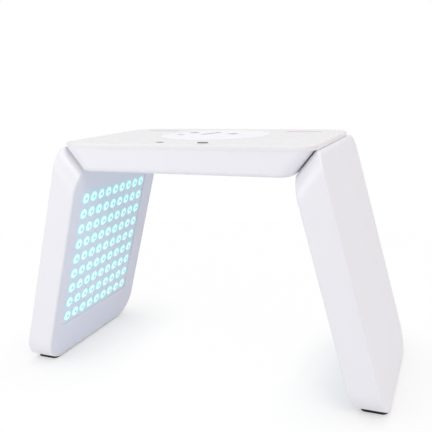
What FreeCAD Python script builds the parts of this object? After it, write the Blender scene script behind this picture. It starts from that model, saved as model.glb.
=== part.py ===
import FreeCAD, Part
import math
import os
from FreeCAD import Vector

os.makedirs("parts", exist_ok=True)

# A three-panel LED lamp that stands open on a table. Millimetres, +Z up, +Y to the rear.
# The origin is on the floor under the middle of the head.

# Whole lamp
depth = 220.0                  # panels, front to rear
wing_tilt = 15.0               # degrees from vertical, standing open
underside_height = 270.0       # floor to the head's underside
underside_half_width = 134.2   # centre to a wing's inner face, at the underside's height
wall = 3.0
seam = 0.2                     # gap round a piece that drops into an opening

# Head
head_height = 34.6             # underside to the top of the cover
cover_rim = 5.6
cover_skin = 2.5
cover_overhang = 0.5           # beyond the housing, at the front and rear
cover_end = 0.2                # the cover's ends stop this far short of the hinge axes
cover_land = 6.0               # rim's width under the cover
cover_edge = 1.6               # rounding of the cover's upper edge
cover_front_corner = 26.0      # corners in plan
cover_rear_corner = 32.0
housing_front_corner = 20.0    # at the underside
housing_rear_corner = 24.0
housing_corner_step = 6.0      # at the top the housing's corners are this much tighter than the cover's
housing_edge = 6.0
floor_thickness = 5.0

# Wings
wing_thickness = 36.0
corner_top = 34.0
corner_bottom = 35.0
corner_crown = 3.0             # corner arcs run out this far above the mitre
outer_edge = 3.0
rim_edge = 2.4
panel_thickness = 5.0

# Hinges
nose_radius = 6.0              # rolled upper edge of a wing, round the hinge axis
lip_gap = 0.3                  # nose to the cover's underside
bevel_gap = 0.9                # nose to the housing's bevelled end
bevel_opening = 1.5            # degrees between mitre and bevel
pin_radius = 1.5
running_gap = 0.05
knuckle_radius = 3.2
knuckle_inset = 55.0           # knuckle's middle from the panels' ends
knuckle_width = 22.0
arm_height = 3.6
arm_gap = 0.5                  # arm or knuckle to the sides of its slot
open_swing = 76.0              # degrees the slots allow, outwards
closed_swing = 3.0             # and inwards
bracket_plate = 3.0
bracket_width = 19.0
bracket_overhang = 4.0         # bracket's plate beyond its knuckles
washer_thickness = 1.0
washer_gap = 0.1
pin_front_inset = 20.0         # pin's ends from the panels' ends
pin_rear_inset = 13.0

# LED fields
lens_radius = 7.4
lens_dome = 1.0                # lens above its plate
lens_play = 0.15
row_pitch = 21.5               # up a wing, or across the head
column_pitch = 18.15           # front to rear
field_margin = 11.6            # outer lens centres to the plate's edge
field_shift = -5.5             # plate's centre, forward of the panel's middle
field_low = 54.2               # up the wing from the floor to the plate's lower edge
field_high = 25.0              # least room between the plate and the mitre
field_side = 20.0              # least room at the panel's front and rear
plate_thickness = 2.0
plate_recess = 0.6
plate_corner = 5.0
ledge = 3.8
ledge_ear = 4.4
board_distance = 7.0           # panel's face to the board
board_thickness = 1.6
board_inset = 1.5
board_clip = 11.0              # cut-off corners of a wing's board
spreader_thickness = 2.0
chip_size = 3.0
chip_height = 0.8
lens_pocket_radius = 3.4
lens_pocket_depth = 1.6

# Feet
foot_proud = 2.5
foot_groove = 1.8
foot_margin = 3.5
foot_inset = 24.0              # foot's ends from the panels' ends
foot_corner = 6.0
foot_edge = 0.8

# Controls and supply
disc_radius = 72.0
disc_y = 14.0
disc_thickness = 1.0
disc_proud = 0.2
button_x = 23.7
window_x = -31.3
control_inset = 24.0           # controls from the panels' front
button_length = 13.0
button_width = 8.0
button_proud = 0.8
button_travel = 1.0
button_play = 0.25
button_rest_gap = 0.1
stem_length = 2.5
stem_radius = 2.0
switch_half = 3.0
plunger_height = 1.5
plunger_radius = 1.7
receiver_gap = 1.5
receiver_half = 1.75
eye_radius = 2.0
eye_height = 1.0
window_length = 10.0
window_width = 7.0
flange_rim = 1.5
flange_thickness = 1.2
touch_radius = 62.0
inlet_x = 45.0
inlet_bore = 2.9
inlet_pin = 1.05
inlet_collar = 4.6
inlet_size = 12.0
inlet_height = 11.0
inlet_length = 11.0
inlet_recess = 0.6
driver_length = 150.0
driver_width = 72.0
driver_inset = 8.0             # board's edge from the panels' rear
driver_drop = 15.0             # cover's ceiling to the driver board
driver_hole = 5.0              # screw holes from the board's edges
coil_height = 8.0
coil_radius = 7.0
capacitor_height = 9.0
capacitor_radius = 4.0
chip_half = 5.0
chip_rise = 2.0
front_length = 96.0
front_width = 16.0
front_drop = 10.3              # cover's ceiling to the front board
front_hole = 4.0
post_radius = 3.2
pillar_radius = 4.2
pillar_side = 29.6             # cover's screws from the underside's ends
pillar_front = 9.0             # and from the panels' front and rear
pillar_rear = 12.0

# Screws
screw_small = 1.0
screw_medium = 1.2
screw_large = 1.5
screw_play = 0.15
head_small = 2.2
head_medium = 2.6
head_large = 2.8
head_low = 1.3
head_tall = 1.6
ear_inset = 3.6                # screw centres from a plate's edges
board_screw = 14.0
panel_screw = 14.0
driver_screw = 10.0
front_screw = 8.0
ear_pilot = 3.5
pilot_spare = 1.0              # blind hole beyond a screw's end
screw_stop = 2.4               # bracket's screws end above the housing's floor

# Leads
lead_radius = 2.0
lead_play = 0.3
lead_gap = 0.6                 # leads to the wing's rear posts
lead_depth = 14.0              # behind a wing's inner face
plug_length = 10.0
plug_width = 14.0

origin = Vector(0, 0, 0)
tilt = math.radians(wing_tilt)
cover_base = underside_height + head_height - cover_rim
cover_top = underside_height + head_height
ceiling = cover_top - cover_skin
knuckle_centre = depth / 2 - knuckle_inset
pin_front = depth / 2 - pin_front_inset
pin_rear = depth / 2 - pin_rear_inset
foot_half_length = depth / 2 - foot_inset
control_y = control_inset - depth / 2
driver_y = depth / 2 - driver_inset - driver_width / 2

# A wing is drawn upright: X from its inner face outwards, Z up along the wing from the floor
wing_foot_x = underside_half_width + underside_height * math.tan(tilt)
inner_corner = underside_height / math.cos(tilt)
axis_z = cover_base - lip_gap - nose_radius
axis_depth = wing_thickness - nose_radius
axis_rise = (axis_z - axis_depth * math.sin(tilt)) / math.cos(tilt)
axis_x = wing_foot_x + axis_depth * math.cos(tilt) - axis_rise * math.sin(tilt)
arm_low = axis_z - knuckle_radius

# Rows and columns fill the room on a wing's inner face
columns = int((depth - 2 * field_side - 2 * field_margin) / column_pitch) + 1
wing_rows = int((inner_corner - field_low - field_high - 2 * field_margin) / row_pitch) + 1
wing_field_height = field_low + field_margin + (wing_rows - 1) * row_pitch / 2
field_rear = field_shift + (columns - 1) * column_pitch / 2 + field_margin
lead_y = field_rear - ear_inset + post_radius + lead_gap + lead_radius

# The mitre runs from the inner corner to touch the nose
axis_reach = math.hypot(axis_depth, axis_rise - inner_corner)
mitre = math.atan2(axis_rise - inner_corner, axis_depth) + math.asin(nose_radius / axis_reach)
mitre_length = math.sqrt(axis_reach ** 2 - nose_radius ** 2)

# The housing's bevelled end follows the mitre, opened by a few degrees
bevel = math.pi / 2 - mitre - tilt + math.radians(bevel_opening)
bevel_x = axis_x - (nose_radius + bevel_gap) * math.cos(bevel)
bevel_z = axis_z + (nose_radius + bevel_gap) * math.sin(bevel)


def housing_half_width(z):
    return bevel_x + (z - bevel_z) * math.tan(bevel)


def box(x0, x1, y0, y1, z0, z1):
    return Part.makeBox(x1 - x0, y1 - y0, z1 - z0, Vector(x0, y0, z0))


def rod(x, y, z0, z1, radius):
    return Part.makeCylinder(radius, z1 - z0, Vector(x, y, z0))


def cross_rod(x, z, y0, y1, radius):
    return Part.makeCylinder(radius, y1 - y0, Vector(x, y0, z), Vector(0, 1, 0))


def line(start, end):
    return Part.LineSegment(start, end).toShape()


def corner_arc(centre, radius, start_degrees, point):
    """A quarter circle; point maps two in-plane distances to a place."""
    steps = [math.radians(start_degrees + turn) for turn in (0, 45, 90)]
    places = [point(centre[0] + radius * math.cos(a), centre[1] + radius * math.sin(a)) for a in steps]
    return Part.Arc(*places).toShape()


def rounded_wire(half_a, low_b, high_b, radius_low, radius_high, point):
    """A rectangle with rounded corners, the lower two and the upper two with their own radius."""
    corners = [
        (half_a - radius_low, low_b + radius_low, radius_low, 270),
        (half_a - radius_high, high_b - radius_high, radius_high, 0),
        (radius_high - half_a, high_b - radius_high, radius_high, 90),
        (radius_low - half_a, low_b + radius_low, radius_low, 180),
    ]
    arcs = [corner_arc((a, b), radius, start, point) for a, b, radius, start in corners]
    edges = []
    for number, arc in enumerate(arcs):
        edges.append(arc)
        start = arc.Vertexes[-1].Point
        end = arcs[(number + 1) % 4].Vertexes[0].Point
        if start.distanceToPoint(end) > 1e-6:
            edges.append(line(start, end))
    return Part.Wire(edges)


def flat_wire(half_x, half_y, front_radius, rear_radius, z):
    return rounded_wire(half_x, -half_y, half_y, front_radius, rear_radius, lambda x, y: Vector(x, y, z))


def rounded_box(length, width, radius, z0, z1):
    face = Part.Face(flat_wire(length / 2, width / 2, radius, radius, z0))
    return face.extrude(Vector(0, 0, z1 - z0))


def clipped_box(length, width, clip, z0, z1):
    """A box with its four upright corners cut off."""
    x, y = length / 2, width / 2
    points = [(x, clip - y), (x, y - clip), (x - clip, y), (clip - x, y)]
    points += [(-a, -b) for a, b in points]
    places = [Vector(a, b, z0) for a, b in points]
    return Part.Face(Part.makePolygon(places + places[:1])).extrude(Vector(0, 0, z1 - z0))


def moved(shape, x, y, z):
    copy = shape.copy()
    copy.translate(Vector(x, y, z))
    return copy


def joined(first, others):
    return first.multiFuse(others).removeSplitter()


def cut(shape, tools):
    return shape.cut(Part.makeCompound(tools))


def screw(x, y, z, shank, head, head_height, length):
    """A screw whose head stands on z and whose shank points down."""
    return joined(rod(x, y, z, z + head_height, head), [rod(x, y, z - length, z, shank)])


def upward_screw(x, y, z, shank, head, head_height, length):
    """A screw whose head hangs below z and whose shank points up."""
    return joined(rod(x, y, z - head_height, z, head), [rod(x, y, z, z + length, shank)])


def export(shape, node):
    shape.exportStep("parts/" + node + ".step")


# LED fields are drawn flat: light shines to -Z, and Z = 0 is the panel's face
def field_size(rows):
    return (rows - 1) * row_pitch + 2 * field_margin, (columns - 1) * column_pitch + 2 * field_margin


def field_points(rows):
    return [((i - (rows - 1) / 2) * row_pitch, (j - (columns - 1) / 2) * column_pitch)
            for i in range(rows) for j in range(columns)]


def ear_points(rows):
    length, width = field_size(rows)
    return [(a * (length / 2 - ear_inset), b * (width / 2 - ear_inset)) for a in (-1, 1) for b in (-1, 1)]


def led_plate(rows):
    length, width = field_size(rows)
    plate = rounded_box(length - 2 * seam, width - 2 * seam, plate_corner - seam,
                        plate_recess, plate_recess + plate_thickness)
    hole = lens_radius + lens_play
    return cut(plate, [rod(x, y, 0, board_distance, hole) for x, y in field_points(rows)])


def led_lenses(rows):
    base = plate_recess
    apex = base - lens_dome
    bend = lens_dome / lens_radius
    half = math.atan(bend)
    sphere = lens_radius / math.sin(2 * half)
    middle = Vector(sphere * math.sin(half), 0, apex + sphere * (1 - math.cos(half)))
    pocket = board_distance - lens_pocket_depth
    edges = [
        Part.Arc(Vector(0, 0, apex), middle, Vector(lens_radius, 0, base)).toShape(),
        line(Vector(lens_radius, 0, base), Vector(lens_radius, 0, board_distance)),
        line(Vector(lens_radius, 0, board_distance), Vector(lens_pocket_radius, 0, board_distance)),
        line(Vector(lens_pocket_radius, 0, board_distance), Vector(lens_pocket_radius, 0, pocket)),
        line(Vector(lens_pocket_radius, 0, pocket), Vector(0, 0, pocket)),
        line(Vector(0, 0, pocket), Vector(0, 0, apex)),
    ]
    lens = Part.Face(Part.Wire(edges)).revolve(origin, Vector(0, 0, 1), 360)
    return Part.makeCompound([moved(lens, x, y, 0) for x, y in field_points(rows)])


def led_sheet(rows, clip, z0, z1, screw_points, hole):
    length, width = field_size(rows)
    sheet = clipped_box(length - 2 * board_inset, width - 2 * board_inset, clip, z0, z1)
    return cut(sheet, [rod(x, y, z0 - 1, z1 + 1, hole) for x, y in screw_points])


def led_board(rows, clip, screw_points, hole):
    back = board_distance + board_thickness
    board = led_sheet(rows, clip, board_distance, back, screw_points, hole)
    half = chip_size / 2
    chips = [box(x - half, x + half, y - half, y + half, board_distance - chip_height, board_distance)
             for x, y in field_points(rows)]
    return Part.makeCompound([board] + chips)


def heat_spreader(rows, clip, screw_points, hole):
    front = board_distance + board_thickness
    return led_sheet(rows, clip, front, front + spreader_thickness, screw_points, hole)


def window_cuts(rows, thickness):
    """The recess for an LED plate and the opening behind it."""
    length, width = field_size(rows)
    recess = rounded_box(length, width, plate_corner, -1, plate_recess + plate_thickness)
    opening = clipped_box(length - 2 * ledge, width - 2 * ledge, ledge_ear, 0, thickness + 1)
    return [recess, opening]


stack_back = board_distance + board_thickness + spreader_thickness


# Wings: the right one is drawn, and the left one is its mirror image
def wing_floor(x):
    """Height along the wing of the shell's underside, which lies level when the lamp stands open."""
    return (foot_proud - x * math.sin(tilt)) / math.cos(tilt)


def wing_outline(x, inset):
    low = wing_floor(x) + inset / math.cos(tilt)
    high = inner_corner + corner_crown + x * math.tan(mitre) - inset / math.cos(mitre)
    return rounded_wire(depth / 2 - inset, low, high, corner_bottom - inset, corner_top - inset,
                        lambda y, rise: Vector(x, y, rise))


def wing_block(edges_of_profile, inset, x0, x1):
    """A side profile swept from front to rear, trimmed to the wing's rounded outline."""
    prism = Part.Face(Part.Wire(edges_of_profile)).extrude(Vector(0, 2 * depth, 0))
    trim = Part.makeLoft([wing_outline(x0 - wall, inset), wing_outline(x1 + wall, inset)], True, True)
    return prism.common(trim)


def side_point(x, rise):
    return Vector(x, -depth, rise)


def wing_core(inset, x0, x1):
    """The inside of a wing, from x0 to x1, kept clear of its walls, mitre and nose."""
    low = wing_floor(wing_thickness) - depth
    under_mitre = inner_corner - inset / math.cos(mitre)
    under_nose = axis_rise - nose_radius - inset
    bend = (under_nose - under_mitre) / math.tan(mitre)
    points = [(x0, low), (x1, low)]
    if x1 > bend:
        points += [(x1, under_nose), (bend, under_nose)]
    else:
        points += [(x1, under_mitre + x1 * math.tan(mitre))]
    points += [(x0, under_mitre + x0 * math.tan(mitre))]
    places = [side_point(x, rise) for x, rise in points]
    edges = [line(places[i - 1], places[i]) for i in range(len(places))]
    return wing_block(edges, inset, x0, x1)


def wing_blank():
    """The whole outer form of a wing, with its rolled nose and rounded edges."""
    low = side_point(0, wing_floor(wing_thickness) - depth)
    low_outer = side_point(wing_thickness, wing_floor(wing_thickness) - depth)
    nose_outer = side_point(wing_thickness, axis_rise)
    half = (mitre + math.pi / 2) / 2
    nose_middle = side_point(axis_depth + nose_radius * math.cos(half),
                             axis_rise + nose_radius * math.sin(half))
    nose_inner = side_point(mitre_length * math.cos(mitre), inner_corner + mitre_length * math.sin(mitre))
    corner = side_point(0, inner_corner)
    edges = [line(low, low_outer), line(low_outer, nose_outer),
             Part.Arc(nose_outer, nose_middle, nose_inner).toShape(),
             line(nose_inner, corner), line(corner, low)]
    blank = wing_block(edges, 0, 0, wing_thickness)

    def rim(x, seam_height):
        """Edges round the face at x, but not its level border at seam_height."""
        found = []
        for edge in blank.Edges:
            bounds = edge.BoundBox
            on_face = abs(bounds.XMin - x) < 1e-4 and abs(bounds.XMax - x) < 1e-4
            border = abs(bounds.ZMin - seam_height) < 1e-4 and abs(bounds.ZMax - seam_height) < 1e-4
            if on_face and not border:
                found.append(edge)
        return found

    blank = blank.makeFillet(outer_edge, rim(wing_thickness, axis_rise))
    return blank.makeFillet(rim_edge, rim(0, inner_corner))


def on_wing(shape):
    """A flat LED piece set into a wing's inner face."""
    copy = shape.copy()
    copy.rotate(origin, Vector(0, 1, 0), 90)
    copy.translate(Vector(0, field_shift, wing_field_height))
    return copy


def stood(shape):
    """A wing's piece, tilted to its place in the open lamp."""
    copy = shape.copy()
    copy.rotate(origin, Vector(0, 1, 0), -wing_tilt)
    copy.translate(Vector(wing_foot_x, 0, 0))
    return copy


def export_pair(shape, name):
    export(shape, "right_" + name)
    export(shape.mirror(origin, Vector(1, 0, 0)), "left_" + name)


def foot(grow):
    x_inner = wing_foot_x - foot_proud * math.tan(tilt)
    width = wing_thickness / math.cos(tilt)
    strip = rounded_box(width - 2 * foot_margin + 2 * grow, 2 * (foot_half_length + grow),
                        foot_corner + grow, 0, foot_proud + foot_groove)
    return moved(strip, x_inner + width / 2, 0, 0)


def wing_lead():
    top = inner_corner + lead_depth * math.tan(mitre) - wall
    low = wing_field_height + 2 * row_pitch
    cable = rod(lead_depth, lead_y, low, top, lead_radius)
    half = lead_radius + 1
    plug = box(stack_back, lead_depth + half, lead_y - plug_width, lead_y + half, low - plug_length, low)
    return joined(plug, [cable])


def arm_slot(y):
    """Room in the nose for one knuckle and for its arm, over the whole swing of the wing."""
    half = knuckle_width / 2 + washer_thickness + 2 * washer_gap
    reach = 2 * wing_thickness
    first = math.pi - tilt + math.radians(closed_swing)
    last = math.pi - tilt - math.radians(open_swing)
    ends = []
    below = axis_z - arm_low + arm_gap
    above = arm_low + arm_height - axis_z + arm_gap
    for angle, offset in ((first, below), (last, -above)):
        x = -offset * math.sin(angle)
        rise = offset * math.cos(angle)
        ends.append([(x, rise), (x + reach * math.cos(angle), rise + reach * math.sin(angle))])
    points = [(0, 0)] + ends[0] + ends[1][::-1]
    places = [Vector(axis_depth + x, y - half, axis_rise + rise) for x, rise in points]
    wedge = Part.Face(Part.makePolygon(places + places[:1])).extrude(Vector(0, 2 * half, 0))
    return wedge, cross_rod(axis_depth, axis_rise, y - half, y + half, knuckle_radius + arm_gap)


screw_row = (wing_rows / 2 - 2) * row_pitch
screw_column = (columns / 2 - 2) * column_pitch
inner_screws = [(a * screw_row, b * screw_column) for a in (-1, 1) for b in (-1, 1)]
wing_ears = ear_points(wing_rows)
shell_floor = wing_thickness - wall
knuckles = (-knuckle_centre, knuckle_centre)

screw_seat = plate_recess + plate_thickness + head_low
board_pilot = board_distance + board_screw + pilot_spare
panel_pilot = screw_seat + panel_screw + pilot_spare
posts = [rod(x, y, stack_back, shell_floor + 1, post_radius) for x, y in inner_screws]
posts += [rod(x, y, panel_thickness, shell_floor + 1, post_radius) for x, y in wing_ears]
pilot_holes = [rod(x, y, stack_back - 1, board_pilot, screw_medium) for x, y in inner_screws]
pilot_holes += [rod(x, y, panel_thickness - 1, panel_pilot, screw_small) for x, y in wing_ears]
pin_bore = cross_rod(axis_depth, axis_rise, -pin_front - seam, depth, pin_radius + running_gap)
lead_hole = rod(lead_depth, lead_y, inner_corner - 2 * wall, inner_corner + 2 * corner_top,
                lead_radius + lead_play)
slots = [tool for y in knuckles for tool in arm_slot(y)]
shell = cut(wing_blank(), [wing_core(wall, -1, shell_floor), pin_bore, lead_hole] + slots)
shell = joined(shell, [on_wing(post) for post in posts])
shell = stood(cut(shell, [on_wing(hole) for hole in pilot_holes]))
export_pair(cut(shell, [foot(seam / 2)]), "outer_shell")

sole = foot(0)
sole_rim = [edge for edge in sole.Edges if edge.BoundBox.ZMax < 1e-4]
export_pair(sole.makeFillet(foot_edge, sole_rim), "foot_strip")

panel_holes = [rod(x, y, 0, panel_thickness + 1, screw_small + screw_play) for x, y in wing_ears]
panel_holes += [rod(x, y, 0, screw_seat, head_small + screw_play) for x, y in wing_ears]
panel_tools = [on_wing(tool) for tool in window_cuts(wing_rows, panel_thickness) + panel_holes]
export_pair(stood(cut(wing_core(wall + seam, 0, panel_thickness), panel_tools)), "inner_panel")

export_pair(stood(on_wing(led_plate(wing_rows))), "led_plate")
export_pair(stood(on_wing(led_lenses(wing_rows))), "led_lenses")
board_hole = screw_medium + screw_play
export_pair(stood(on_wing(led_board(wing_rows, board_clip, inner_screws, board_hole))), "led_board")
export_pair(stood(on_wing(heat_spreader(wing_rows, board_clip, inner_screws, board_hole))), "heat_spreader")

board_screws = [upward_screw(x, y, board_distance, screw_medium, head_medium, head_tall, board_screw)
                for x, y in inner_screws]
export_pair(stood(on_wing(Part.makeCompound(board_screws))), "board_screws")
panel_screws = [upward_screw(x, y, screw_seat, screw_small, head_small, head_low - seam / 2, panel_screw)
                for x, y in wing_ears]
export_pair(stood(on_wing(Part.makeCompound(panel_screws))), "panel_screws")
export_pair(stood(wing_lead()), "wing_lead")

washers = []
for y in knuckles:
    for side in (-1, 1):
        start = y + side * (knuckle_width / 2 + washer_gap) - (washer_thickness if side < 0 else 0)
        ring = cross_rod(axis_x, axis_z, start, start + washer_thickness, knuckle_radius)
        washers.append(ring.cut(cross_rod(axis_x, axis_z, -depth, depth, pin_radius + running_gap)))
export_pair(Part.makeCompound(washers), "hinge_washers")
export_pair(cross_rod(axis_x, axis_z, -pin_front, pin_rear, pin_radius), "hinge_pin")


# Head housing: a tray with bevelled ends, open at the top
def housing_wire(z, inset):
    share = (z - underside_height) / (cover_base - underside_height)
    front = housing_front_corner + share * (cover_front_corner - housing_corner_step - housing_front_corner)
    rear = housing_rear_corner + share * (cover_rear_corner - housing_corner_step - housing_rear_corner)
    half_width = housing_half_width(z) - inset / math.cos(bevel)
    return flat_wire(half_width, depth / 2 - inset, front - inset, rear - inset, z)


housing_floor = underside_height + floor_thickness
tray = Part.makeLoft([housing_wire(underside_height, 0), housing_wire(cover_base, 0)], True, True)
lower_edges = [edge for edge in tray.Edges if edge.BoundBox.ZMax < underside_height + 1e-4]
tray = tray.makeFillet(housing_edge, lower_edges)
hollow = Part.makeLoft([housing_wire(housing_floor, wall), housing_wire(cover_base + 1, wall)], True, True)

boss_x = housing_half_width(housing_floor) - wall / math.cos(bevel) - post_radius - 1
boss_points = [(side * boss_x, y) for side in (-1, 1) for y in (-knuckle_centre / 2, knuckle_centre / 2)]
head_room = boss_x - post_radius - board_inset
head_rows = int((2 * head_room - 2 * field_margin) / row_pitch) + 1
head_ears = [(x, y + field_shift) for x, y in ear_points(head_rows)]
pillar_x = housing_half_width(underside_height) - pillar_side
pillar_points = [(side * pillar_x, y) for side in (-1, 1)
                 for y in (pillar_front - depth / 2, depth / 2 - pillar_rear)]
bracket_screw = arm_low - housing_floor - screw_stop
lead_z = underside_height + stack_back + lead_radius + seam


def on_head(shape):
    return moved(shape, 0, field_shift, underside_height)


bosses = [rod(x, y, housing_floor - 1, arm_low - bracket_plate, post_radius) for x, y in boss_points]
bosses += [rod(x, y, housing_floor - 1, cover_base, pillar_radius) for x, y in pillar_points]
bosses += [rod(x, y, housing_floor - 1, underside_height + board_distance, head_small) for x, y in head_ears]
inlet_z = ceiling - driver_drop + inlet_height / 2
tools = [on_head(tool) for tool in window_cuts(head_rows, floor_thickness)]
tools += [rod(x, y, arm_low - bracket_screw - pilot_spare, cover_base, screw_medium) for x, y in boss_points]
tools += [rod(x, y, underside_height - 1, cover_base + 1, screw_large + screw_play) for x, y in pillar_points]
tools += [rod(x, y, underside_height - 1, underside_height + head_tall, head_large + screw_play)
          for x, y in pillar_points]
tools += [rod(x, y, underside_height + board_distance - ear_pilot, cover_base, screw_small)
          for x, y in head_ears]
tools += [cross_rod(inlet_x, inlet_z, depth / 2 - 2 * wall, depth, inlet_collar + seam)]
tools += [Part.makeCylinder(lead_radius + lead_play, 4 * boss_x, Vector(-2 * boss_x, lead_y, lead_z),
                            Vector(1, 0, 0))]
arm_half = knuckle_width / 2 + seam
for y in knuckles:
    tools.append(box(-axis_x, axis_x, y - arm_half, y + arm_half, arm_low - seam, cover_top))
housing = joined(tray.cut(hollow), bosses)
export(cut(housing, tools), "head_housing")

export(on_head(led_plate(head_rows)), "head_led_plate")
export(on_head(led_lenses(head_rows)), "head_led_lenses")
head_holes = ear_points(head_rows)
ear_hole = screw_small + screw_play
export(on_head(led_board(head_rows, plate_corner / 2, head_holes, ear_hole)), "head_led_board")
export(on_head(heat_spreader(head_rows, plate_corner / 2, head_holes, ear_hole)), "head_heat_spreader")
spreader_top = underside_height + stack_back
ear_screw = stack_back - board_distance + ear_pilot - seam
export(Part.makeCompound([screw(x, y, spreader_top, screw_small, head_small, head_low, ear_screw)
                          for x, y in head_ears]), "head_board_screws")

# Hinge brackets: a plate on the housing's bosses, with two arms that end in knuckles
plate_outer = housing_half_width(arm_low - bracket_plate) - wall / math.cos(bevel) - 1
for side, name in ((1, "right"), (-1, "left")):
    half = knuckle_centre + knuckle_width / 2 + bracket_overhang
    plate = box(plate_outer - bracket_width, plate_outer, -half, half, arm_low - bracket_plate, arm_low)
    arms = []
    for y in knuckles:
        low, high = y - knuckle_width / 2, y + knuckle_width / 2
        arms.append(box(plate_outer - bracket_width, axis_x, low, high, arm_low, arm_low + arm_height))
        arms.append(cross_rod(axis_x, axis_z, low, high, knuckle_radius))
    holes = [rod(boss_x, y, arm_low - 2 * bracket_plate, arm_low, screw_medium + screw_play)
             for x, y in boss_points if x > 0]
    holes.append(cross_rod(axis_x, axis_z, -depth, depth, pin_radius))
    bracket = cut(joined(plate, arms), holes)
    if side < 0:
        bracket = bracket.mirror(origin, Vector(1, 0, 0))
    export(bracket, name + "_hinge_bracket")
export(Part.makeCompound([screw(x, y, arm_low, screw_medium, head_medium, head_tall, bracket_screw)
                          for x, y in boss_points]), "bracket_screws")

# Cover, with the control disc's recess, the two control openings and posts for the boards
cover_half_width = axis_x - cover_end
cover_half_depth = depth / 2 + cover_overhang


def cover_block(inset, z0, z1):
    wire = flat_wire(cover_half_width - inset, cover_half_depth - inset,
                     cover_front_corner - inset, cover_rear_corner - inset, z0)
    return Part.Face(wire).extrude(Vector(0, 0, z1 - z0))


cover = cover_block(0, cover_base, cover_top)
cover = cover.makeFillet(cover_edge, [edge for edge in cover.Edges if edge.BoundBox.ZMin > cover_top - 1e-4])
pocket = cover_block(cover_land, cover_base - 1, ceiling)
driver_z = ceiling - driver_drop
front_z = ceiling - front_drop
driver_posts = [(a * (driver_length / 2 - driver_hole), driver_y + b * (driver_width / 2 - driver_hole))
                for a in (-1, 1) for b in (-1, 1)]
front_posts = [(side * (front_length / 2 - front_hole), control_y) for side in (-1, 1)]
posts = [rod(x, y, driver_z, ceiling + 1, post_radius) for x, y in driver_posts]
posts += [rod(x, y, front_z, ceiling + 1, post_radius) for x, y in front_posts]
posts += [rod(x, y, cover_base, ceiling + 1, pillar_radius) for x, y in pillar_points]
button_hole = rounded_box(button_length + 2 * button_play, button_width + 2 * button_play,
                          button_width / 2 + button_play, ceiling - 1, cover_top + 1)
window_hole = rounded_box(window_length + 2 * seam, window_width + 2 * seam,
                          window_width / 2 + seam, ceiling - 1, cover_top + 1)
disc_top = cover_top + disc_proud
tools = [rod(0, disc_y, disc_top - disc_thickness, cover_top + 1, disc_radius + seam)]
tools += [moved(button_hole, button_x, control_y, 0), moved(window_hole, window_x, control_y, 0)]
tools += [rod(x, y, driver_z - 1, driver_z + driver_screw, screw_medium) for x, y in driver_posts]
tools += [rod(x, y, front_z - 1, front_z + front_screw - pilot_spare, screw_small) for x, y in front_posts]
tools += [rod(x, y, cover_base - 1, ceiling + 1, screw_large) for x, y in pillar_points]
export(cut(joined(cover.cut(pocket), posts), tools), "top_cover")

export(rod(0, disc_y, disc_top - disc_thickness, disc_top, disc_radius), "control_disc")
export(rod(0, disc_y, ceiling - board_thickness, ceiling, touch_radius), "touch_board")
cover_seat = underside_height + head_tall
cover_screw = ceiling - cover_seat
cover_screws = [upward_screw(x, y, cover_seat, screw_large, head_large, head_tall - seam, cover_screw)
                for x, y in pillar_points]
export(Part.makeCompound(cover_screws), "cover_screws")

# Power button, its switch, the remote window and the receiver
flange_top = ceiling - button_rest_gap
stem_low = flange_top - flange_thickness - stem_length
cap = rounded_box(button_length, button_width, button_width / 2, flange_top, cover_top + button_proud)
cap = cap.makeFillet(button_proud / 2, [edge for edge in cap.Edges
                                       if edge.BoundBox.ZMin > cover_top + button_proud - 1e-4])
flange = rounded_box(button_length + 2 * flange_rim, button_width + 2 * flange_rim,
                     button_width / 2 + flange_rim, flange_top - flange_thickness, flange_top)
button = joined(cap, [flange, rod(0, 0, stem_low, flange_top - flange_thickness, stem_radius)])
export(moved(button, button_x, control_y, 0), "power_button")

switch_top = stem_low - button_travel - button_rest_gap
switch = box(-switch_half, switch_half, -switch_half, switch_half, front_z, switch_top - plunger_height)
switch = joined(switch, [rod(0, 0, switch_top - plunger_height, switch_top, plunger_radius)])
export(moved(switch, button_x, control_y, 0), "button_switch")

lens = rounded_box(window_length, window_width, window_width / 2, ceiling, cover_top)
lens_flange = rounded_box(window_length + 2 * flange_rim, window_width + 2 * flange_rim,
                          window_width / 2 + flange_rim, ceiling - flange_thickness, ceiling)
export(moved(joined(lens, [lens_flange]), window_x, control_y, 0), "remote_window")
receiver_top = ceiling - flange_thickness - receiver_gap
receiver = box(-switch_half, switch_half, -receiver_half, receiver_half, front_z, receiver_top)
eye = cross_rod(0, receiver_top - switch_half, -receiver_half - eye_height, -receiver_half, eye_radius)
export(moved(joined(receiver, [eye]), window_x, control_y, 0), "ir_receiver")

front_board = box(-front_length / 2, front_length / 2, control_y - front_width / 2,
                  control_y + front_width / 2, front_z - board_thickness, front_z)
export(cut(front_board, [rod(x, y, front_z - 2 * board_thickness, front_z, screw_small + screw_play)
                         for x, y in front_posts]), "front_board")
front_low = front_z - board_thickness
export(Part.makeCompound([upward_screw(x, y, front_low, screw_small, head_small, head_low, front_screw)
                          for x, y in front_posts]), "front_board_screws")

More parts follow.
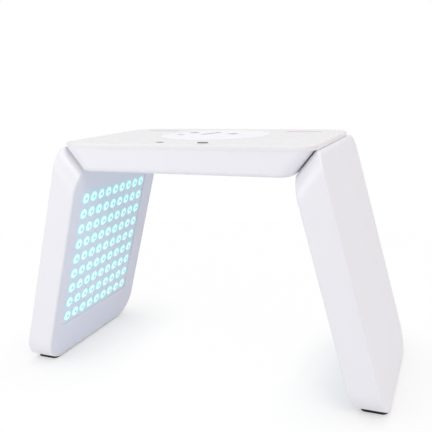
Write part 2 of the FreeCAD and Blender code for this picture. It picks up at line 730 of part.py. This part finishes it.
# Driver board and what stands on it
driver_low = driver_z - board_thickness
driver = box(-driver_length / 2, driver_length / 2, driver_y - driver_width / 2, driver_y + driver_width / 2,
             driver_low, driver_z)
driver = cut(driver, [rod(x, y, driver_low - 1, driver_z + 1, screw_medium + screw_play)
                      for x, y in driver_posts])
coil_step = 3 * coil_radius
cap_step = 3 * capacitor_radius
cap_y = driver_y + driver_width / 2 - 3 * capacitor_radius
coils = [rod((i - 2) * coil_step, driver_y, driver_z, driver_z + coil_height, coil_radius) for i in range(3)]
caps = [rod((i - 4) * cap_step, cap_y, driver_z, driver_z + capacitor_height, capacitor_radius)
        for i in range(3)]
chips = [box(x - chip_half, x + chip_half, driver_y - chip_half, driver_y + chip_half,
             driver_z, driver_z + chip_rise) for x in (4 * chip_half, 8 * chip_half)]
export(Part.makeCompound([driver] + coils + caps + chips), "driver_board")
export(Part.makeCompound([upward_screw(x, y, driver_low, screw_medium, head_medium, head_tall, driver_screw)
                          for x, y in driver_posts]), "driver_board_screws")

# DC inlet: a socket with a centre pin, behind a hole in the rear wall
socket_rear = depth / 2 - wall
socket = box(-inlet_size / 2, inlet_size / 2, socket_rear - inlet_length, socket_rear, driver_z,
             driver_z + inlet_height)
socket = joined(socket, [cross_rod(0, inlet_z, socket_rear, depth / 2 - inlet_recess, inlet_collar)])
socket = socket.cut(cross_rod(0, inlet_z, socket_rear - inlet_length + 2, depth, inlet_bore))
centre_pin = cross_rod(0, inlet_z, socket_rear - inlet_length + 1, depth / 2 - 2 * inlet_recess, inlet_pin)
socket = joined(socket, [centre_pin])
export(moved(socket, inlet_x, 0, 0), "dc_inlet")

# Leads from the driver board to the wings
leads = []
lead_end = housing_half_width(lead_z) - 1
for side in (-1, 1):
    inner = driver_length / 2 - plug_length
    start = inner if side > 0 else -lead_end
    cable = Part.makeCylinder(lead_radius, lead_end - inner, Vector(start, lead_y, lead_z), Vector(1, 0, 0))
    plug = box(inner - plug_length, inner, lead_y - lead_radius - 1, lead_y + lead_radius + 1,
               lead_z - lead_radius, driver_low)
    if side < 0:
        plug = plug.mirror(origin, Vector(1, 0, 0))
    leads.append(joined(plug, [cable]))
export(Part.makeCompound(leads), "head_leads")
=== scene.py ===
import math

import bmesh
import bpy
from mathutils import Matrix, Vector


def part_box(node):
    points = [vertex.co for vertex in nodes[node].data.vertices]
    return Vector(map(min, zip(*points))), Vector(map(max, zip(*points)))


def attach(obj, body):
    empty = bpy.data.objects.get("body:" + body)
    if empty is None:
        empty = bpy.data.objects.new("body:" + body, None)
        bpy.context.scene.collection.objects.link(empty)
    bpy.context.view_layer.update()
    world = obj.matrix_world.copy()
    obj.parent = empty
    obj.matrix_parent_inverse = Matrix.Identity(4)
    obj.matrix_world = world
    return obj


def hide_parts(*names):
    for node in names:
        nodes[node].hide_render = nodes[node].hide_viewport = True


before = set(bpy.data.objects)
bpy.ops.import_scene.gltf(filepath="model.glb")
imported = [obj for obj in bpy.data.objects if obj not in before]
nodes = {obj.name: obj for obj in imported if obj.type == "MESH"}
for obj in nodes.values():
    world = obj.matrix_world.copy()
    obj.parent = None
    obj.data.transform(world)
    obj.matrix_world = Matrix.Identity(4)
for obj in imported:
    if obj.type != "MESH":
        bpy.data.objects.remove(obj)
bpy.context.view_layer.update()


# Head housing: the tray under the cover, with bevelled ends where the wings fold against it.
# Injection-moulded ABS in a cool white; the mould's spark-eroded face leaves a fine satin grain.
def linear(hex_code):
    """An sRGB hex colour as linear RGBA."""
    parts = [int(hex_code[i:i + 2], 16) / 255 for i in (1, 3, 5)]
    return tuple(c / 12.92 if c < 0.04045 else ((c + 0.055) / 1.055) ** 2.4 for c in parts) + (1.0,)


def add(tree, kind, settings=None, inputs=None):
    """Adds a node; an input is a value, or the output socket that feeds it."""
    made = tree.nodes.new(kind)
    for name, value in (settings or {}).items():
        setattr(made, name, value)
    for name, value in (inputs or {}).items():
        if isinstance(value, bpy.types.NodeSocket):
            tree.links.new(value, made.inputs[name])
        else:
            made.inputs[name].default_value = value
    return made


def finish(name):
    """A material with an empty tree, its Object coordinates and its output node."""
    made = bpy.data.materials.new(name)
    made.use_nodes = True
    tree = made.node_tree
    tree.nodes.clear()
    place = add(tree, "ShaderNodeTexCoord").outputs["Object"]
    return made, tree, place, add(tree, "ShaderNodeOutputMaterial")


def per_mm(size):
    """A texture's scale for features of this size in millimetres."""
    return 1000.0 / size


def dress(material, *names):
    """Gives CAD nodes their material."""
    for name in names:
        mesh = nodes[name].data
        mesh.materials.clear()
        mesh.materials.append(material)


def moulded_abs(name, light, shade, roughness):
    """Satin ABS: slow tone changes from the mould's flow, and a grain that softens the gloss.

    The real grain is about 0.15 mm and too fine to show, so it is drawn at 1.1 mm.
    """
    made, tree, place, out = finish(name)
    flow = add(tree, "ShaderNodeTexNoise", None, {"Vector": place, "Scale": per_mm(55), "Detail": 2.0})
    tone = add(tree, "ShaderNodeMix", {"data_type": "RGBA"},
               {0: flow.outputs["Fac"], 6: linear(light), 7: linear(shade)})
    grain = add(tree, "ShaderNodeTexNoise", None, {"Vector": place, "Scale": per_mm(1.1), "Detail": 3.0})
    gloss = add(tree, "ShaderNodeMapRange", None, {
        "Value": grain.outputs["Fac"], "To Min": roughness - 0.05, "To Max": roughness + 0.05})
    bump = add(tree, "ShaderNodeBump", None, {
        "Height": grain.outputs["Fac"], "Strength": 0.12, "Distance": 0.0002})
    shell = add(tree, "ShaderNodeBsdfPrincipled", None, {
        "Base Color": tone.outputs[2], "Roughness": gloss.outputs["Result"], "Normal": bump.outputs["Normal"],
        "IOR": 1.53, "Specular IOR Level": 0.45})
    tree.links.new(shell.outputs["BSDF"], out.inputs["Surface"])
    return made


dress(moulded_abs("white_abs_housing", "#F0EFF4", "#ECEBF1", 0.32), "head_housing")


# Top cover: a thin lid with a rounded rim that closes the housing, screwed from below.
# The same ABS, in a slightly warmer batch, polished a little smoother than the shells.
dress(moulded_abs("white_abs_cover", "#EFECED", "#EAE8E9", 0.28), "top_cover")


# Control disc: a printed touch overlay let into the cover, over the touch board.
# Cast acrylic with a satin hard coat, back-sprayed in a cool white.
def hard_coat(name, colour, flecks, roughness):
    """Coated acrylic: even colour with faint orange peel, about 3 mm from crest to crest."""
    made, tree, place, out = finish(name)
    peel = add(tree, "ShaderNodeTexNoise", None, {"Vector": place, "Scale": per_mm(3.0), "Detail": 1.0})
    tone = add(tree, "ShaderNodeMix", {"data_type": "RGBA"},
               {0: peel.outputs["Fac"], 6: linear(colour), 7: linear(flecks)})
    bump = add(tree, "ShaderNodeBump", None, {
        "Height": peel.outputs["Fac"], "Strength": 0.06, "Distance": 0.0002})
    coat = add(tree, "ShaderNodeBsdfPrincipled", None, {
        "Base Color": tone.outputs[2], "Normal": bump.outputs["Normal"], "IOR": 1.49,
        "Roughness": roughness, "Coat Weight": 0.3, "Coat Roughness": 0.12})
    tree.links.new(coat.outputs["BSDF"], out.inputs["Surface"])
    return made


dress(hard_coat("coated_acrylic_disc", "#F8F8FD", "#F5F4FB", 0.25), "control_disc")


# Printed marks: a slanted bar and three ring symbols on the disc, in grey screen-printed ink a few hundredths
# of a millimetre thick.
# Two thin rose bars lie on the cover near its rear corners, just as thin.
def ink(name, colour, worn):
    """A matt colour film, thinner in spots about 0.8 mm wide."""
    made, tree, place, out = finish(name)
    spots = add(tree, "ShaderNodeTexNoise", None, {"Vector": place, "Scale": per_mm(0.8), "Detail": 2.0})
    tone = add(tree, "ShaderNodeMix", {"data_type": "RGBA"},
               {0: spots.outputs["Fac"], 6: linear(colour), 7: linear(worn)})
    film = add(tree, "ShaderNodeBsdfPrincipled", None, {"Base Color": tone.outputs[2], "Roughness": 0.6})
    tree.links.new(film.outputs["BSDF"], out.inputs["Surface"])
    return made


def new_piece(name, mesh, material, body):
    """An object at the origin for a finished mesh, riding on a body."""
    piece = bpy.data.objects.new(name, mesh)
    bpy.context.scene.collection.objects.link(piece)
    mesh.materials.clear()
    mesh.materials.append(material)
    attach(piece, body)
    return piece


def rounded_outline(length, width, segments=8):
    """Corner points of a bar with round ends, along X."""
    radius = width / 2
    points = []
    for end, start in ((1, -90), (-1, 90)):
        for step in range(segments + 1):
            angle = math.radians(start + 180 * step / segments)
            points.append((end * (length / 2 - radius) + radius * math.cos(angle), radius * math.sin(angle)))
    return points


def add_plate(bm, points, low, high, hole=None):
    """A flat plate with the given outline; hole is a matching inner outline."""
    loops = [points] if hole is None else [points, hole]
    rings = [[[bm.verts.new((x, y, z)) for x, y in loop] for z in (low, high)] for loop in loops]
    count = len(points)
    for ring, turn in zip(rings, (1, -1)):
        for i in range(count):
            quad = [ring[0][i], ring[0][(i + 1) % count], ring[1][(i + 1) % count], ring[1][i]]
            bm.faces.new(quad[::turn])
    if hole is None:
        bm.faces.new(rings[0][1])
        bm.faces.new(rings[0][0][::-1])
        return
    for level, turn in ((1, 1), (0, -1)):
        for i in range(count):
            j = (i + 1) % count
            quad = [rings[0][level][i], rings[0][level][j], rings[1][level][j], rings[1][level][i]]
            bm.faces.new(quad[::turn])


def circle_points(radius, segments=32):
    """Points of a circle round the origin."""
    return [(radius * math.cos(2 * math.pi * i / segments), radius * math.sin(2 * math.pi * i / segments))
            for i in range(segments)]


def turned(points, degrees, x, y):
    """An outline turned about the origin and moved to x, y."""
    c, s = math.cos(math.radians(degrees)), math.sin(math.radians(degrees))
    return [(x + c * a - s * b, y + s * a + c * b) for a, b in points]


def mesh_from(bm, name):
    """A mesh with the given name, from an edit mesh that it uses up."""
    bm.normal_update()
    mesh = bpy.data.meshes.new(name)
    bm.to_mesh(mesh)
    bm.free()
    return mesh


ink_thickness = 0.00004
disc_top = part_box("control_disc")[1].z
cover_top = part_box("top_cover")[1].z
slash_length, slash_width, slash_turn = 0.036, 0.005, 67
slash_x, slash_y = -0.014, 0.0335
dot_share, dot_segments = 0.32, 16
ring_marks = ((-0.043, 0.043, 0.0065, 0.0022), (0.018, 0.030, 0.0065, 0.0022),
              (-0.050, 0.012, 0.0045, 0.0015))
icons = bmesh.new()
add_plate(icons, turned(rounded_outline(slash_length, slash_width), slash_turn, slash_x, slash_y),
          disc_top, disc_top + ink_thickness)
for x, y, radius, width in ring_marks:
    add_plate(icons, turned(circle_points(radius), 0, x, y), disc_top, disc_top + ink_thickness,
              turned(circle_points(radius - width), 0, x, y))
    add_plate(icons, turned(circle_points(radius * dot_share, dot_segments), 0, x, y),
              disc_top, disc_top + ink_thickness)
new_piece("disc_symbols", mesh_from(icons, "disc_symbols"), ink("grey_screen_ink", "#6C6B76", "#7C7B85"),
          "head")
# Two thin rose bars, darker than the cover, along its rear edge near the corners.
bar_length, bar_width, bar_x, bar_y = 0.048, 0.006, 0.104, 0.073
bars = bmesh.new()
for side in (-1, 1):
    add_plate(bars, turned(rounded_outline(bar_length, bar_width), 0, side * bar_x, bar_y), cover_top,
              cover_top + ink_thickness)
new_piece("cover_bars", mesh_from(bars, "cover_bars"), ink("rose_rear_bar_colour", "#C9A3A6", "#D3B2B4"),
          "head")


# Power button and remote window: two small dark pieces near the cover's front edge.
# Smoke-tinted acrylic: the button is polished and pushed up by its switch, the window is blasted matt.
def smoked_acrylic(name, colour, haze, roughness, gloss_level):
    """Dark acrylic with faint haze patches about 4 mm across."""
    made, tree, place, out = finish(name)
    patch = add(tree, "ShaderNodeTexNoise", None, {"Vector": place, "Scale": per_mm(4.0), "Detail": 2.0})
    tone = add(tree, "ShaderNodeMix", {"data_type": "RGBA"},
               {0: patch.outputs["Fac"], 6: linear(colour), 7: linear(haze)})
    gloss = add(tree, "ShaderNodeMapRange", None, {
        "Value": patch.outputs["Fac"], "To Min": roughness, "To Max": roughness + 0.1})
    body = add(tree, "ShaderNodeBsdfPrincipled", None, {
        "Base Color": tone.outputs[2], "Roughness": gloss.outputs["Result"], "IOR": 1.49,
        "Specular IOR Level": gloss_level})
    tree.links.new(body.outputs["BSDF"], out.inputs["Surface"])
    return made


dress(smoked_acrylic("smoked_acrylic", "#3B3A3E", "#47464A", 0.14, 0.5), "power_button")
dress(smoked_acrylic("blasted_smoked_acrylic", "#121114", "#1B1A1D", 0.5, 0.1), "remote_window")


# Wing outer shells: deep trays with a rolled upper edge that hides the hinge, one mirrored from the other.
# The same cool white ABS as the housing.
dress(moulded_abs("white_abs_shell", "#F0EFF3", "#ECEBF0", 0.32), "right_outer_shell", "left_outer_shell")


# Wing inner panels: flat frames that close the shells and hold the LED plates.
# ABS again, with a finer face, so it keeps a soft sheen next to the lenses.
# The panel colour is a darker, bluer copy of the shell white: painted cool shade that stands in for the shade
# on the inner faces under the head.
dress(moulded_abs("white_abs_panel_painted_shade", "#EAE8F3", "#E5E3F0", 0.38), "right_inner_panel", "left_inner_panel")


# LED plates: perforated sheets that carry the lens fields, let 0.6 mm into the panels.
# Milky polycarbonate, punched from sheet, with a shallow matt face that keeps reflections soft.
def diffuser_sheet(name, colour, cloud):
    """Milky polycarbonate with clouds about 12 mm wide and a shallow matt texture of 1.5 mm."""
    made, tree, place, out = finish(name)
    clouds = add(tree, "ShaderNodeTexNoise", None, {"Vector": place, "Scale": per_mm(12), "Detail": 2.0})
    tone = add(tree, "ShaderNodeMix", {"data_type": "RGBA"},
               {0: clouds.outputs["Fac"], 6: linear(colour), 7: linear(cloud)})
    matt = add(tree, "ShaderNodeTexNoise", None, {"Vector": place, "Scale": per_mm(1.5), "Detail": 1.0})
    bump = add(tree, "ShaderNodeBump", None, {
        "Height": matt.outputs["Fac"], "Strength": 0.1, "Distance": 0.0002})
    sheet = add(tree, "ShaderNodeBsdfPrincipled", None, {
        "Base Color": tone.outputs[2], "Normal": bump.outputs["Normal"], "Roughness": 0.34, "IOR": 1.58})
    tree.links.new(sheet.outputs["BSDF"], out.inputs["Surface"])
    return made


# The sheet's cyan-blue tint is painted light: it stands in for the LEDs' glow falling on a white plate.
dress(diffuser_sheet("milky_polycarbonate_painted_led_glow", "#E1EBF9", "#DBE6F5"),
      "right_led_plate", "left_led_plate", "head_led_plate")


# LED lenses: a domed cap over each LED, in straight rows on the wings and under the head.
# Clear acrylic, pressed through the plate from behind.
# Lit, each shows a bright ring round the LED's darker die.
def lit_acrylic(name):
    """Glowing acrylic: the attribute ring runs from 0 on the lens axis to 1 at its edge."""
    made, tree, place, out = finish(name)
    ring = add(tree, "ShaderNodeAttribute", {"attribute_name": "ring"})
    ramp = add(tree, "ShaderNodeValToRGB", None, {"Fac": ring.outputs["Fac"]}).color_ramp
    stops = ((0.0, "#62C6BD"), (0.25, "#86D6CF"), (0.45, "#D6F8F7"), (0.8, "#CEF6F5"), (1.0, "#A8E8E8"))
    while len(ramp.elements) < len(stops):
        ramp.elements.new(0.5)
    for element, (position, colour) in zip(ramp.elements, stops):
        element.position = position
        element.color = linear(colour)
    flicker = add(tree, "ShaderNodeTexNoise", None, {"Vector": place, "Scale": per_mm(25), "Detail": 1.0})
    gloss = add(tree, "ShaderNodeMapRange", None, {
        "Value": flicker.outputs["Fac"], "To Min": 0.06, "To Max": 0.16})
    glow = tree.nodes["Color Ramp"].outputs["Color"]
    lens = add(tree, "ShaderNodeBsdfPrincipled", None, {
        "Base Color": glow, "Emission Color": glow, "Emission Strength": 0.4,
        "Roughness": gloss.outputs["Result"], "IOR": 1.49})
    tree.links.new(lens.outputs["BSDF"], out.inputs["Surface"])
    return made


def lens_pattern(radius, dome, seat):
    """One lens, opening at Z = 0 towards -Z, with its seat at +Z and the ring attribute on its points."""
    segments = 12
    bm = bmesh.new()
    ring = bm.verts.layers.float.new("ring")
    sphere = (radius ** 2 + dome ** 2) / (2 * dome)
    levels = []
    for share in (0.33, 0.66, 0.88, 1.0):
        r = radius * share
        levels.append((r, -dome + sphere - math.sqrt(sphere ** 2 - r ** 2)))
    levels.append((radius, seat))
    apex = bm.verts.new((0, 0, -dome))
    apex[ring] = 0.0
    rows = []
    for r, z in levels:
        row = [bm.verts.new((x, y, z)) for x, y in circle_points(r, segments)]
        for vert in row:
            vert[ring] = r / radius
        rows.append(row)
    for i in range(segments):
        j = (i + 1) % segments
        bm.faces.new((apex, rows[0][j], rows[0][i]))
        for inner, outer in zip(rows, rows[1:]):
            bm.faces.new((inner[i], inner[j], outer[j], outer[i]))
    bm.faces.new(rows[-1])
    for face in bm.faces:
        face.smooth = True
    bmesh.ops.recalc_face_normals(bm, faces=bm.faces)
    mesh = mesh_from(bm, "lens_pattern")
    pattern = bpy.data.objects.new("lens_pattern", mesh)
    bpy.context.scene.collection.objects.link(pattern)
    return pattern


def grid_tree():
    """A Geometry Nodes tree that sets a pattern out in rows and columns."""
    tree = bpy.data.node_groups.new("rows_and_columns", "GeometryNodeTree")
    for name, kind in (("Pattern", "NodeSocketObject"), ("Rows", "NodeSocketInt"),
                       ("Columns", "NodeSocketInt"), ("Row Span", "NodeSocketFloat"),
                       ("Column Span", "NodeSocketFloat"), ("Material", "NodeSocketMaterial")):
        tree.interface.new_socket(name, in_out="INPUT", socket_type=kind)
    tree.interface.new_socket("Geometry", in_out="OUTPUT", socket_type="NodeSocketGeometry")
    given = add(tree, "NodeGroupInput").outputs
    grid = add(tree, "GeometryNodeMeshGrid", None, {
        "Size X": given["Row Span"], "Size Y": given["Column Span"],
        "Vertices X": given["Rows"], "Vertices Y": given["Columns"]})
    shape = add(tree, "GeometryNodeObjectInfo", None, {"Object": given["Pattern"]})
    spread = add(tree, "GeometryNodeInstanceOnPoints", None, {
        "Points": grid.outputs["Mesh"], "Instance": shape.outputs["Geometry"]})
    real = add(tree, "GeometryNodeRealizeInstances", None, {"Geometry": spread.outputs["Instances"]})
    coloured = add(tree, "GeometryNodeSetMaterial", None, {
        "Geometry": real.outputs["Geometry"], "Material": given["Material"]})
    result = add(tree, "NodeGroupOutput")
    tree.links.new(coloured.outputs["Geometry"], result.inputs["Geometry"])
    return tree


def grown(tree, name, values):
    """The plain mesh that a tree makes with these input values."""
    carrier = bpy.data.objects.new(name, bpy.data.meshes.new(name))
    bpy.context.scene.collection.objects.link(carrier)
    modifier = carrier.modifiers.new("grow", "NODES")
    modifier.node_group = tree
    sockets = {item.name: item.identifier for item in tree.interface.items_tree if item.in_out == "INPUT"}
    for key, value in values.items():
        modifier[sockets[key]] = value
    depsgraph = bpy.context.evaluated_depsgraph_get()
    mesh = bpy.data.meshes.new_from_object(carrier.evaluated_get(depsgraph))
    mesh.name = name
    carrier.modifiers.remove(modifier)
    bpy.data.objects.remove(carrier)
    return mesh


lens_radius, lens_dome, plate_recess, lens_seat = 0.0074, 0.001, 0.0006, 0.0016
row_pitch, column_pitch, columns = 0.0215, 0.01815, 9
field_shift, field_height = -0.0055, 0.1518
underside, underside_half_width = 0.270, 0.1342
wing_tilt = math.radians(15)
wing_foot = underside_half_width + underside * math.tan(wing_tilt)
recess = Matrix.Translation((0, 0, plate_recess))
on_head = Matrix.Translation((0, field_shift, underside)) @ recess
on_right = (Matrix.Translation((wing_foot, 0, 0)) @ Matrix.Rotation(-wing_tilt, 4, "Y")
            @ Matrix.Translation((0, field_shift, field_height))
            @ Matrix.Rotation(math.radians(90), 4, "Y") @ recess)
on_left = Matrix.Scale(-1, 4, (1, 0, 0)) @ on_right
lens = lens_pattern(lens_radius, lens_dome, lens_seat)
rows_and_columns = grid_tree()
lens_glow = lit_acrylic("lit_acrylic_lens")
for name, rows, place, body in (("head_led_lenses", 11, on_head, "head"),
                                ("right_led_lenses", 9, on_right, "right_wing"),
                                ("left_led_lenses", 9, on_left, "left_wing")):
    field = grown(rows_and_columns, name + "_caps", {
        "Pattern": lens, "Rows": rows, "Columns": columns, "Row Span": (rows - 1) * row_pitch,
        "Column Span": (columns - 1) * column_pitch, "Material": lens_glow})
    field.transform(place)
    if place.determinant() < 0:
        field.flip_normals()
    caps = new_piece(name + "_caps", field, lens_glow, body)
    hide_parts(name)
bpy.data.objects.remove(lens)


# Foot strips: soft pads let into the wings' lower ends, so the lamp doesn't slide.
# Black silicone rubber, moulded, with a dry matt skin.
def matt_rubber(name, colour, dusty):
    """Rubber with dusty patches about 6 mm wide and a grain of 0.9 mm."""
    made, tree, place, out = finish(name)
    dust = add(tree, "ShaderNodeTexNoise", None, {"Vector": place, "Scale": per_mm(6.0), "Detail": 3.0})
    tone = add(tree, "ShaderNodeMix", {"data_type": "RGBA"},
               {0: dust.outputs["Fac"], 6: linear(colour), 7: linear(dusty)})
    grain = add(tree, "ShaderNodeTexNoise", None, {"Vector": place, "Scale": per_mm(0.9), "Detail": 2.0})
    bump = add(tree, "ShaderNodeBump", None, {
        "Height": grain.outputs["Fac"], "Strength": 0.2, "Distance": 0.0002})
    skin = add(tree, "ShaderNodeBsdfPrincipled", None, {
        "Base Color": tone.outputs[2], "Normal": bump.outputs["Normal"], "Roughness": 0.75, "IOR": 1.41})
    tree.links.new(skin.outputs["BSDF"], out.inputs["Surface"])
    return made


dress(matt_rubber("black_silicone", "#17171A", "#242428"), "right_foot_strip", "left_foot_strip")


# Hinge brackets: plates on the housing's bosses whose arms reach into the wings' rolled edges.
# Die-cast aluminium, blasted; the pins pressed into them and the washers are ground steel.
def cast_metal(name, colour, shade, size, low, high):
    """Metal with a worn-in tone change of the given size in millimetres."""
    made, tree, place, out = finish(name)
    tone = add(tree, "ShaderNodeTexNoise", None, {"Vector": place, "Scale": per_mm(size), "Detail": 3.0})
    mix = add(tree, "ShaderNodeMix", {"data_type": "RGBA"},
              {0: tone.outputs["Fac"], 6: linear(colour), 7: linear(shade)})
    rough = add(tree, "ShaderNodeMapRange", None, {
        "Value": tone.outputs["Fac"], "To Min": low, "To Max": high})
    metal = add(tree, "ShaderNodeBsdfPrincipled", None, {
        "Base Color": mix.outputs[2], "Roughness": rough.outputs["Result"], "Metallic": 1.0})
    tree.links.new(metal.outputs["BSDF"], out.inputs["Surface"])
    return made


dress(cast_metal("blasted_cast_aluminium", "#B9BABD", "#A6A7AB", 1.4, 0.4, 0.55),
      "right_hinge_bracket", "left_hinge_bracket")
dress(cast_metal("ground_steel", "#C6C7CA", "#B2B3B7", 0.8, 0.22, 0.36),
      "right_hinge_pin", "left_hinge_pin", "right_hinge_washers", "left_hinge_washers")


# Heat spreaders: flat sheets behind the LED boards that carry the heat into the shells.
# Rolled aluminium, with a faint uneven tone left by the rolling.
dress(cast_metal("rolled_aluminium", "#C9CBCE", "#B9BBBF", 2.5, 0.28, 0.42),
      "right_heat_spreader", "left_heat_spreader", "head_heat_spreader")


# Screws: they hold the cover, the brackets, the boards and the panels.
# Zinc-plated steel with a bright blue-white passivation.
dress(cast_metal("zinc_plated_steel", "#BFC3CA", "#A9ADB5", 0.7, 0.25, 0.4),
      "cover_screws", "bracket_screws", "head_board_screws", "driver_board_screws", "front_board_screws",
      "right_board_screws", "left_board_screws", "right_panel_screws", "left_panel_screws")


# Circuit boards: the LED boards, the driver board, the front board and the touch board.
# Glass-fibre laminate under white solder mask, with the copper tracks showing as slightly raised lines.
def solder_mask(name, colour, track):
    """White solder mask over tracks about 3 mm apart."""
    made, tree, place, out = finish(name)
    tracks = add(tree, "ShaderNodeTexWave", {"wave_type": "BANDS", "bands_direction": "DIAGONAL"},
                 {"Vector": place, "Scale": per_mm(6.0) / 10, "Distortion": 4.0, "Detail": 1.0})
    tone = add(tree, "ShaderNodeMix", {"data_type": "RGBA"},
               {0: tracks.outputs["Fac"], 6: linear(colour), 7: linear(track)})
    bump = add(tree, "ShaderNodeBump", None, {
        "Height": tracks.outputs["Fac"], "Strength": 0.3, "Distance": 0.0001})
    mask = add(tree, "ShaderNodeBsdfPrincipled", None, {
        "Base Color": tone.outputs[2], "Normal": bump.outputs["Normal"], "Roughness": 0.35})
    tree.links.new(mask.outputs["BSDF"], out.inputs["Surface"])
    return made


dress(solder_mask("white_solder_mask", "#E9EAE6", "#DCDDD6"), "right_led_board", "left_led_board",
      "head_led_board", "driver_board", "front_board", "touch_board")


# DC inlet, button switch and infrared receiver: small moulded parts on the boards.
# Black glass-filled nylon, with a dull moulded face.
dress(matt_rubber("black_nylon", "#1E1E20", "#2A2A2D"), "dc_inlet", "button_switch", "ir_receiver")


# Leads: insulated cables from the driver board to the wings, each with its plug.
# Soft white PVC, extruded, with a satin skin.
dress(hard_coat("white_pvc", "#E4E4E2", "#DCDCDA", 0.45), "head_leads", "right_wing_lead", "left_wing_lead")


# Stage: a pale floor, soft studio light and a white background.
# Far from the lamp the floor turns to plain white for the camera, so that no horizon shows.
floor_radius, shadow_reach = 8.0, 0.1
fade_start, fade_end = 0.3, 0.9
floor_mesh = bpy.data.meshes.new("floor")
floor_bm = bmesh.new()
bmesh.ops.create_circle(floor_bm, cap_ends=True, radius=floor_radius, segments=96)
floor_bm.to_mesh(floor_mesh)
floor_bm.free()
floor = bpy.data.objects.new("floor", floor_mesh)
bpy.context.scene.collection.objects.link(floor)
paper, tree, place, out = finish("white_paper_floor")
fibre = add(tree, "ShaderNodeTexNoise", None, {"Vector": place, "Scale": per_mm(30), "Detail": 2.0})
tone = add(tree, "ShaderNodeMix", {"data_type": "RGBA"},
           {0: fibre.outputs["Fac"], 6: linear("#FBF9F9"), 7: linear("#F8F6F6")})
sheet = add(tree, "ShaderNodeBsdfDiffuse", None, {"Color": tone.outputs[2]})
reach = add(tree, "ShaderNodeVectorMath", {"operation": "LENGTH"}, {0: place})
fade = add(tree, "ShaderNodeMapRange", {"interpolation_type": "SMOOTHSTEP"}, {
    "Value": reach.outputs["Value"], "From Min": fade_start, "From Max": fade_end,
    "To Min": 0.0, "To Max": 1.0})
# Near the lamp the camera's plain white gives way to the lit paper wherever ambient occlusion is low: a
# painted contact shade at the feet and under the head.
nearby = add(tree, "ShaderNodeAmbientOcclusion", {"samples": 16}, {"Distance": shadow_reach})
white_share_less_painted_shade = add(tree, "ShaderNodeMapRange", None, {
    "Value": nearby.outputs["AO"], "From Min": 0.4, "From Max": 1.0, "To Min": 0.4, "To Max": 0.98})
bare = add(tree, "ShaderNodeMath", {"operation": "MAXIMUM"}, {
    0: fade.outputs["Result"], 1: white_share_less_painted_shade.outputs["Result"]})
ray = add(tree, "ShaderNodeLightPath")
mirrored = add(tree, "ShaderNodeMath", {"operation": "MAXIMUM"},
               {0: ray.outputs["Is Glossy Ray"], 1: ray.outputs["Is Transmission Ray"]})
direct = add(tree, "ShaderNodeMath", {"operation": "MAXIMUM"},
             {0: ray.outputs["Is Camera Ray"], 1: mirrored.outputs["Value"]})
seen = add(tree, "ShaderNodeMath", {"operation": "MULTIPLY"},
           {0: bare.outputs["Value"], 1: direct.outputs["Value"]})
white = add(tree, "ShaderNodeEmission", None, {"Color": (1, 1, 1, 1), "Strength": 1.0})
mixed = add(tree, "ShaderNodeMixShader", None, {
    0: seen.outputs["Value"], 1: sheet.outputs["BSDF"], 2: white.outputs["Emission"]})
tree.links.new(mixed.outputs["Shader"], out.inputs["Surface"])
floor_mesh.materials.append(paper)

world = bpy.data.worlds.new("studio")
bpy.context.scene.world = world
world.use_nodes = True
sky = world.node_tree
sky.nodes.clear()
sky_out = add(sky, "ShaderNodeOutputWorld")
ray = add(sky, "ShaderNodeLightPath")
mirrored = add(sky, "ShaderNodeMath", {"operation": "MAXIMUM"},
               {0: ray.outputs["Is Glossy Ray"], 1: ray.outputs["Is Transmission Ray"]})
direct = add(sky, "ShaderNodeMath", {"operation": "MAXIMUM"},
             {0: ray.outputs["Is Camera Ray"], 1: mirrored.outputs["Value"]})
soft = add(sky, "ShaderNodeBackground", None, {"Color": linear("#FBFBFF"), "Strength": 0.545})
plain = add(sky, "ShaderNodeBackground", None, {"Color": (1, 1, 1, 1), "Strength": 1.0})
both = add(sky, "ShaderNodeMixShader", None, {
    0: direct.outputs["Value"], 1: soft.outputs["Background"], 2: plain.outputs["Background"]})
sky.links.new(both.outputs["Shader"], sky_out.inputs["Surface"])


def soft_box(name, place, aim, size, power, colour):
    """A square studio light at place that shines towards aim."""
    light = bpy.data.lights.new(name, "AREA")
    light.shape = "SQUARE"
    light.size = size
    light.energy = power
    light.color = linear(colour)[:3]
    lamp = bpy.data.objects.new(name, light)
    bpy.context.scene.collection.objects.link(lamp)
    lamp.location = place
    lamp.rotation_euler = (Vector(aim) - Vector(place)).to_track_quat("-Z", "Y").to_euler()


lamp_aim = (0, 0, 0.15)
soft_box("top_box", (0.0, 0.0, 2.1), lamp_aim, 0.6, 5.0, "#FBFFFD")
soft_box("upper_right_box", (1.4, -1.5, 1.8), lamp_aim, 1.2, 18.6, "#FFFFFD")
soft_box("upper_left_box", (-0.9, -0.3, 1.6), lamp_aim, 1.0, 1.3, "#EAF2FF")
soft_box("front_left_box", (-0.8, -1.0, 0.6), lamp_aim, 0.7, 3.4, "#F9FEFD")
soft_box("right_box", (2.1, 0.3, 0.8), lamp_aim, 1.4, 1.4, "#FFB899")

camera_place = (0.2986, -0.7283, 0.373)
yaw, pitch, roll = math.radians(22.1), math.radians(12.51), math.radians(-1.53)
camera = bpy.data.objects.new("camera", bpy.data.cameras.new("camera"))
bpy.context.scene.collection.objects.link(camera)
camera.data.sensor_fit = "HORIZONTAL"
camera.data.sensor_width = 36.0
camera.data.lens = 50.5
camera.data.clip_start = 0.01
camera.matrix_world = (Matrix.Translation(camera_place) @ Matrix.Rotation(yaw, 4, "Z")
                       @ Matrix.Rotation(math.pi / 2 - pitch, 4, "X") @ Matrix.Rotation(roll, 4, "Z"))
bpy.context.scene.camera = camera
bpy.context.scene.view_settings.view_transform = "Standard"
